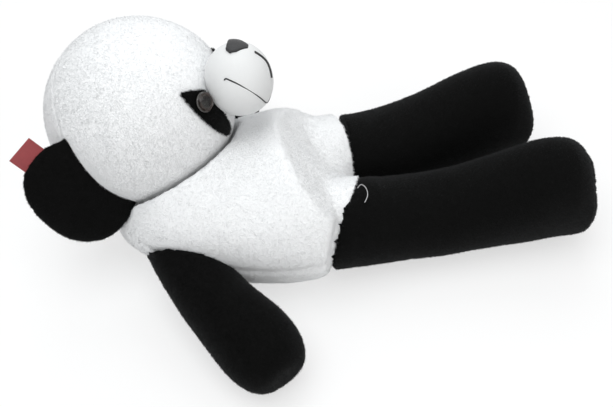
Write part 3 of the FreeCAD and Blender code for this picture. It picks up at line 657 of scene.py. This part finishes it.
# legs
soleShape = {
    "reach": 0.336, "middle": 0.075, "pinch": 0.0028, "pinchWide": 0.005,
    "pucker": ((0.0012, 26), (0.0006, 41)), "toeStart": 0.300, "toeRise": 0.03, "toe": 0.004,
}
hipGather = {
    "edge": 0.002, "slope": 0.005, "hidden": 0.005, "wide": 0.007, "deep": 0.0016, "wobble": 0.0005,
}


def shapeSole(skin, side):
    hip = jointPlace(f"leg_{side}_raise")
    along, across = turned(hipShape[side]["turn"]), turned(hipShape[side]["turn"] + 90)
    places = pointsOf(skin)
    reach = (places - hip) @ along
    around = np.arctan2(places[:, 2] - soleShape["middle"], (places - hip) @ across)
    depth = soleShape["pinch"]
    for height, waves in soleShape["pucker"]:
        depth = depth + height * np.sin(around * waves)
    pucker = swell(reach - soleShape["reach"], soleShape["pinchWide"]) * depth
    toes = np.clip((reach - soleShape["toeStart"]) / soleShape["toeRise"], 0, 1)
    toes = toes * soleShape["toe"] * (np.sin(around * 2.0 + 0.6) - 0.4)
    setPoints(skin, places - normalsOf(skin) * (pucker - toes)[:, None])


def seamPinch(skin, side):  # sinks the leg under the torso's edge and gathers it there
    places = pointsOf(skin)
    distance = seamDistance(side, places)
    hidden = np.clip((hipGather["edge"] - distance) / hipGather["slope"], 0, 1)
    hidden = hidden * hipGather["hidden"]
    wobble = hipGather["wobble"] * np.sin(places[:, 2] * 520 + places[:, 1] * 330)
    pinch = swell(distance - hipGather["edge"], hipGather["wide"]) * (hipGather["deep"] + wobble)
    setPoints(skin, places - normalsOf(skin) * (hidden + pinch)[:, None])


def buildLeg(side):
    hip = jointPlace(f"leg_{side}_raise")
    along = turned(hipShape[side]["turn"])
    ball = ballAt(hip + np.array([0, 0, legShape["ballLift"]]), legShape["ballRadius"])
    pieces = ("root", "stuffing", "inner_panel", "outer_panel", "sole")
    panels = [f"leg_{side}_{piece}" for piece in pieces]
    leg = copyOf("leg", panels)
    tubeStart = hipShape[side]["deep"] + legShape["tubeShorter"]
    tube = legTube(side, tubeStart, legShape["tubeEnd"], legShape["tubeUnder"])
    skin = joined(f"leg_{side}_skin", [leg, ball, tube])
    remeshed(skin, legShape["voxel"], legShape["smoothing"])
    grow(skin, -legShape["pile"])
    rumple(skin, legShape["rumple"], legShape["wave"], legShape["seed"] + sides[side])
    shapeSole(skin, side)
    seamPinch(skin, side)
    comb = alongComb(along + np.array([0, 0, -0.3]))
    skin = furred(skin, furLike(blackFur, 22, 112000), comb)
    dressed(skin, blackPlush)
    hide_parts(*panels)
    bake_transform(skin)


for side in sides:
    buildLeg(side)
print("legs ready")


# arms
armShape = {
    "turn": {"right": -65.5, "left": 78}, "droop": {"right": 5.6, "left": 1.4},
    "ballRadius": 0.038, "voxel": 0.0035, "smoothing": 8, "pile": 0.0015, "rumple": 0.0015,
    "wave": 0.08, "seed": 31, "shorter": 0.88, "slimmer": 0.87, "slimFrom": 0.2, "bendStart": 0.05,
    "bendEnd": 0.115,
}


def trimArm(skin, side):
    turn = armShape["turn"][side]
    along, across = turned(turn), turned(turn + 90)
    places = pointsOf(skin)
    local = places - jointPlace(f"arm_{side}_raise")
    reach, aside = local @ along, local @ across
    share = np.clip(reach / armShape["slimFrom"], 0, 1)
    shorter = (armShape["shorter"] - 1) * np.clip(reach, 0, None)
    slimmer = (armShape["slimmer"] - 1) * share * aside
    setPoints(skin, places + along * shorter[:, None] + across * slimmer[:, None])


def buildArm(side):
    shoulder = jointPlace(f"arm_{side}_raise")
    droop = math.radians(armShape["droop"][side])
    along = turned(armShape["turn"][side]) * math.cos(droop) - np.array([0, 0, math.sin(droop)])
    panels = [f"arm_{side}_{piece}" for piece in ("front_panel", "back_panel", "stuffing", "root")]
    arm = copyOf("arm", panels)
    skin = joined(f"arm_{side}_skin", [arm, ballAt(shoulder, armShape["ballRadius"])])
    remeshed(skin, armShape["voxel"], armShape["smoothing"])
    grow(skin, -armShape["pile"])
    trimArm(skin, side)
    rumple(skin, armShape["rumple"], armShape["wave"], armShape["seed"])
    comb = alongComb(along + np.array([0, 0, -0.3]))
    skin = furred(skin, furLike(blackFur, 32, 95000), comb)
    dressed(skin, blackPlush)
    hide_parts(*panels)
    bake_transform(skin)


for side in sides:
    buildArm(side)
print("arms ready")


# muzzle, nose and stitched lines
muzzleShape = {
    "forward": 0.158, "drop": 0.006, "voxel": 0.0026, "smoothing": 6,
    "nosePad": 0.0006, "noseTurn": (16, 0, 12), "noseProud": 1.015, "noseVoxel": 0.0009,
}
muzzleCentre = headCentre + faceWay * muzzleShape["forward"] - crown * muzzleShape["drop"]
muzzleSkin = copyOf("muzzle_skin", ["muzzle_cover", "muzzle_stuffing"])
remeshed(muzzleSkin, muzzleShape["voxel"], muzzleShape["smoothing"])
muzzleTree = BVHTree.FromObject(muzzleSkin, bpy.context.evaluated_depsgraph_get())
dressed(muzzleSkin, paleVelvet)
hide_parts("muzzle_cover", "muzzle_stuffing")
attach(muzzleSkin, "head")

nosePad = copyOf("nose_pad", ["nose_cover"])
grow(nosePad, muzzleShape["nosePad"])
noseLocal = (pointsOf(nosePad) - muzzleCentre) @ headAxes.T * muzzleShape["noseProud"]
noseTurn = Euler([math.radians(angle) for angle in muzzleShape["noseTurn"]], "XYZ").to_matrix()
noseLocal = noseLocal @ np.array(noseTurn).T
setPoints(nosePad, muzzleCentre + noseLocal @ headAxes)
remeshed(nosePad, muzzleShape["noseVoxel"], 8)
dressed(nosePad, noseCloth)
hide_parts("nose_cover")
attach(nosePad, "head")


def onMuzzle(sideways, upwards, lift):  # angles in degrees, seen from the muzzle's middle
    around, rise = math.radians(sideways), math.radians(upwards)
    flat = faceWay * math.cos(around) + headRight * math.sin(around)
    way = flat * math.cos(rise) + crown * math.sin(rise)
    hit = muzzleTree.ray_cast(Vector(muzzleCentre + way * 0.12), Vector(-way))[0]
    if hit is None:
        hit = muzzleTree.find_nearest(Vector(muzzleCentre + way * 0.06))[0]
    return np.array(hit) + way * lift


def stitchedLine(name, angles, width, nodeName):
    points = [onMuzzle(sideways, upwards, width * 0.1) for sideways, upwards in angles]
    line = threadCurve(name, points, width, 4, 10)
    pickOnly(line)
    bpy.ops.object.convert(target="MESH")
    line = bpy.context.object
    smoothFaces(line)
    dressed(line, blackThread)
    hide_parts(nodeName)
    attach(line, "head")


philtrumPath = [(-4, 34), (-9, 24), (-13, 14), (-14, 4), (-11, -5), (-7, -12), (-3, -20)]
mouthRight = [
    (84, 24), (81, 27), (77, 22), (70, 15), (61, 1), (51, -18), (43, -35), (35, -48), (24, -58),
]
mouthPath = mouthRight + [(0, -64)] + [(-a, b) for a, b in reversed(mouthRight)]
stitchedLine("philtrum_thread", philtrumPath, 0.0036, "philtrum_stitch")
stitchedLine("mouth_thread", mouthPath, 0.0020, "mouth_stitch")
print("muzzle ready")


# eye patches
patchShape = {  # the outline in millimetres, towards the nose and up, from the eye
    "outline": [
        (-20, 28), (-9, 22), (3, 16), (14, 9), (19, -6), (22, -21), (31, -46), (37, -63),
        (28, -72), (14, -59), (-5, -33), (-14, -7), (-18, 12),
    ],
    "rounds": 3, "sheet": 0.12, "thick": 0.0020, "sunk": 0.0006, "step": 0.0014,
    "swing": {"right": 0, "left": -27},
}


def rounded(outline):
    points = np.array(outline, float)
    for _ in range(patchShape["rounds"]):
        following = np.roll(points, -1, axis=0)
        early, late = points * 0.75 + following * 0.25, points * 0.25 + following * 0.75
        points = np.stack([early, late], axis=1).reshape(-1, 2)
    return points


def insideOutline(points, outline):
    start, end = outline, np.roll(outline, -1, axis=0)
    x, y = points[:, 0:1], points[:, 1:2]
    crosses = (start[:, 1] > y) != (end[:, 1] > y)
    rise = np.where(end[:, 1] == start[:, 1], 1e-9, end[:, 1] - start[:, 1])
    where = start[:, 0] + (y - start[:, 1]) / rise * (end[:, 0] - start[:, 0])
    return (crosses & (x < where)).sum(axis=1) % 2 == 1


def keepInside(item, outline):
    pickOnly(item)
    bpy.ops.object.mode_set(mode="EDIT")
    bpy.ops.mesh.select_all(action="DESELECT")
    bpy.ops.object.mode_set(mode="OBJECT")
    centres = np.empty(len(item.data.polygons) * 3)
    item.data.polygons.foreach_get("center", centres)
    wanted = insideOutline(centres.reshape(-1, 3)[:, :2], outline)
    item.data.polygons.foreach_set("select", ~wanted)
    bpy.ops.object.mode_set(mode="EDIT")
    bpy.ops.mesh.delete(type="FACE")
    bpy.ops.object.mode_set(mode="OBJECT")


def buildPatch(side, eye):
    swing = math.radians(patchShape["swing"][side])
    outline = rounded(patchShape["outline"]) / 1000
    swung = [[math.cos(swing), math.sin(swing)], [-math.sin(swing), math.cos(swing)]]
    outline = outline @ np.array(swung)
    centre, reach = outline.mean(axis=0), patchShape["sheet"]
    pickNone()
    count = int(reach / patchShape["step"])
    bpy.ops.mesh.primitive_grid_add(x_subdivisions=count, y_subdivisions=count, size=reach)
    patch = bpy.context.object
    patch.name = f"patch_{side}_skin"
    settle(patch)
    setPoints(patch, pointsOf(patch) + np.array([*centre, 0]))
    keepInside(patch, outline)
    flat = pointsOf(patch)
    out = unit(eye - headCentre)
    up = unit(crown - out * (crown @ out))
    inner = np.cross(up, out) * -sides[side]
    far = np.linalg.norm(flat[:, :2], axis=1, keepdims=True) + 1e-9
    turn = far / headRadius
    way = out * np.cos(turn) + (flat[:, :1] * inner + flat[:, 1:2] * up) / far * np.sin(turn)
    setPoints(patch, headCentre + way * (headRadius - patchShape["sunk"]))
    useModifier(patch, "SOLIDIFY", thickness=patchShape["thick"], offset=-sides[side])
    remeshed(patch, patchShape["step"], 3)
    return patch


eyeCentres = {side: pointsOf(nodes[f"eye_{side}_lens"]).mean(axis=0) for side in sides}
patches = {side: buildPatch(side, eyeCentres[side]) for side in sides}


# eyes, a clear dome over a brown back
eyeShape = {"radius": 0.0135, "fleck": 0.03}
irisStops = [
    (0.0, rgb(0.002, 0.002, 0.002)), (0.42, rgb(0.003, 0.003, 0.003)),
    (0.50, rgb(0.016, 0.008, 0.005)), (0.74, rgb(0.034, 0.018, 0.013)),
    (0.86, rgb(0.02, 0.014, 0.012)), (0.95, rgb(0.09, 0.085, 0.082)),
]


def lensFinish(side):
    finish = Finish(f"clearDome{side.capitalize()}")
    scratches = finish.noise(260, 2.0)
    return finish.done({
        "Base Color": rgb(0.92, 0.90, 0.88),
        "Roughness": scratches * 0.03 + 0.015,
        "Transmission Weight": 1.0,
        "IOR": 1.3,
    })


def irisFinish(side):
    finish = Finish(f"eyeBack{side.capitalize()}")
    axis = unit(eyeCentres[side] - headCentre)
    centred = finish.vector("SUBTRACT", finish.place(), tuple(headCentre))
    off = finish.vector("CROSS_PRODUCT", centred, tuple(axis))
    radius = finish.vector("LENGTH", off, output=1)
    spread = radius * (1 / eyeShape["radius"]) + finish.noise(500, 3.0) * eyeShape["fleck"]
    ring = finish.add("ShaderNodeValToRGB", {"stops": irisStops}, {0: spread})
    return finish.done({"Base Color": ring, "Roughness": 0.35, "Specular IOR Level": 0.2})


def washerFinish():
    finish = Finish("washerPlastic")
    grain = finish.noise(700, 2.0)
    shade = finish.mix(grain, rgb(0.68, 0.68, 0.66), rgb(0.76, 0.76, 0.74))
    return finish.done({"Base Color": shade, "Roughness": 0.45})


def paintNode(nodeName, material):
    node = nodes[nodeName]
    node.data.materials.clear()
    node.data.materials.append(material)


washerPlastic = washerFinish()
patchFur = furLike({**blackFur, "length": 0.004, "spacing": 0.0010}, 41, 16000)
for side in sides:
    paintNode(f"eye_{side}_lens", lensFinish(side))
    paintNode(f"eye_{side}_back", irisFinish(side))
    paintNode(f"eye_{side}_washer", washerPlastic)
    underEye = [(nodes[f"eye_{side}_back"], 0.0015)]
    comb = awayComb(eyeCentres[side], -0.4 * faceWay)
    patch = furred(patches[side], patchFur, comb, bare=underEye)
    dressed(patch, blackPlush)
    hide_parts(f"eye_patch_{side}")
    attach(patch, "head")
    patches[side] = patch
print("eyes ready")


# head
headShape = {
    "under": 0.0030, "rumple": 0.0011, "wave": 0.11, "seed": 51, "seamDeep": 0.0011,
    "gusset": 0.040, "back": -0.044, "socketDeep": 0.0015, "socket": 0.020,
}


def buildHead():
    pickNone()
    radius = headRadius - headShape["under"]
    bpy.ops.mesh.primitive_ico_sphere_add(subdivisions=7, radius=radius, location=headCentre)
    skin = bpy.context.object
    skin.name = "head_skin"
    settle(skin)
    rumple(skin, headShape["rumple"], headShape["wave"], headShape["seed"])
    places = pointsOf(skin)
    aside, forward = ((places - headCentre) @ headAxes.T)[:, :2].T
    back = headShape["back"]
    seams = swell(np.abs(aside) - headShape["gusset"], 0.0022) * (forward > back)
    seams += swell(forward - back, 0.0025)
    seams += swell(aside, 0.002) * (forward < back)
    depth = seams * headShape["seamDeep"]
    for eye in eyeCentres.values():
        distance = np.linalg.norm(places - eye, axis=1)
        depth += swell(distance, headShape["socket"]) * headShape["socketDeep"]
    setPoints(skin, places - normalsOf(skin) * depth[:, None])
    comb = awayComb(headCentre + faceWay * 0.11, -0.35 * crown)
    tucked = [(muzzleSkin, 0.0035), (patches["right"], 0.0022), (patches["left"], 0.0022)]
    skin = furred(skin, furLike(whiteFur, 52, 112000), comb, bare=tucked)
    dressed(skin, whitePlush)
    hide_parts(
        "face_right_panel", "face_left_panel", "forehead_gusset", "head_back_right_panel",
        "head_back_left_panel", "head_stuffing",
    )
    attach(skin, "head")


buildHead()
print("head ready")


# ears
earShape = {
    "seat": 0.009, "sink": 0.012, "pile": 0.002, "voxel": 0.003, "smoothing": 7,
    "rumple": 0.0014, "wave": 0.05, "seed": 61, "bendStart": 0.004, "bendEnd": 0.022,
}


def buildEar(side):
    base = jointPlace(f"ear_{side}_fold")
    root, pouchNames = f"ear_{side}_root", [f"ear_{side}_front", f"ear_{side}_back"]
    middle = np.vstack([pointsOf(nodes[name]) for name in pouchNames]).mean(axis=0)
    outward = unit(middle - base)
    seat = -outward * earShape["seat"]
    pouch = copyOf("ear", pouchNames + [root], shift=seat)
    tucked = copyOf("ear", [root], shift=seat - outward * earShape["sink"])
    skin = joined(f"ear_{side}_skin", [pouch, tucked])
    grow(skin, -earShape["pile"])
    remeshed(skin, earShape["voxel"], earShape["smoothing"])
    rumple(skin, earShape["rumple"], earShape["wave"], earShape["seed"])
    skin = furred(skin, furLike(blackFur, 62, 60000), alongComb(outward))
    dressed(skin, blackPlush)
    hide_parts(root, *pouchNames)
    start, end = base - outward * earShape["bendStart"], base + outward * earShape["bendEnd"]
    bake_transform(skin)


for side in sides:
    buildEar(side)
print("ears ready")


# bare red label, a ribbon in the ear's outer seam
labelShape = {
    "wide": 0.038, "reach": 0.033, "thick": 0.0011, "rounding": 0.0003,
    "bow": 0.0016, "curl": 0.003,
}


def buildLabel():
    joint = joints["label_flap"]
    hinge, axis = np.array(joint["pos_m"]), unit(np.array(joint["axis"]))
    middle = pointsOf(nodes["side_label"]).mean(axis=0)
    reachWay = unit((middle - hinge) - axis * ((middle - hinge) @ axis))
    facing = np.cross(axis, reachWay)
    pickNone()
    bpy.ops.mesh.primitive_grid_add(x_subdivisions=26, y_subdivisions=22, size=1)
    ribbon = bpy.context.object
    ribbon.name = "label_ribbon"
    settle(ribbon)
    flat = pointsOf(ribbon)
    across, out = flat[:, 0], flat[:, 1] + 0.5
    start = (middle - hinge) @ reachWay + labelShape["reach"] / 2 - labelShape["reach"]
    bow = labelShape["bow"] * np.sin(out * math.pi) * np.cos(across * 3)
    curl = labelShape["curl"] * (np.clip(out - 0.6, 0, 1) ** 2 * (across + 0.3))
    places = hinge + axis * (across * labelShape["wide"])[:, None]
    places = places + reachWay * (start + out * labelShape["reach"])[:, None]
    setPoints(ribbon, places + facing * (bow + curl)[:, None])
    weave = ribbon.data.uv_layers.new(name="weave")
    corner = np.empty(len(ribbon.data.loops), np.int32)
    ribbon.data.loops.foreach_get("vertex_index", corner)
    weave.data.foreach_set("uv", np.c_[across, out][corner].ravel())
    useModifier(ribbon, "SOLIDIFY", thickness=labelShape["thick"], offset=0)
    useModifier(ribbon, "BEVEL", width=labelShape["rounding"], segments=2)
    pickOnly(ribbon)
    bpy.ops.object.shade_smooth_by_angle(angle=math.radians(40))
    dressed(ribbon, redRibbon)
    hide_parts("side_label")
    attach(ribbon, "label")


buildLabel()
print("label ready")

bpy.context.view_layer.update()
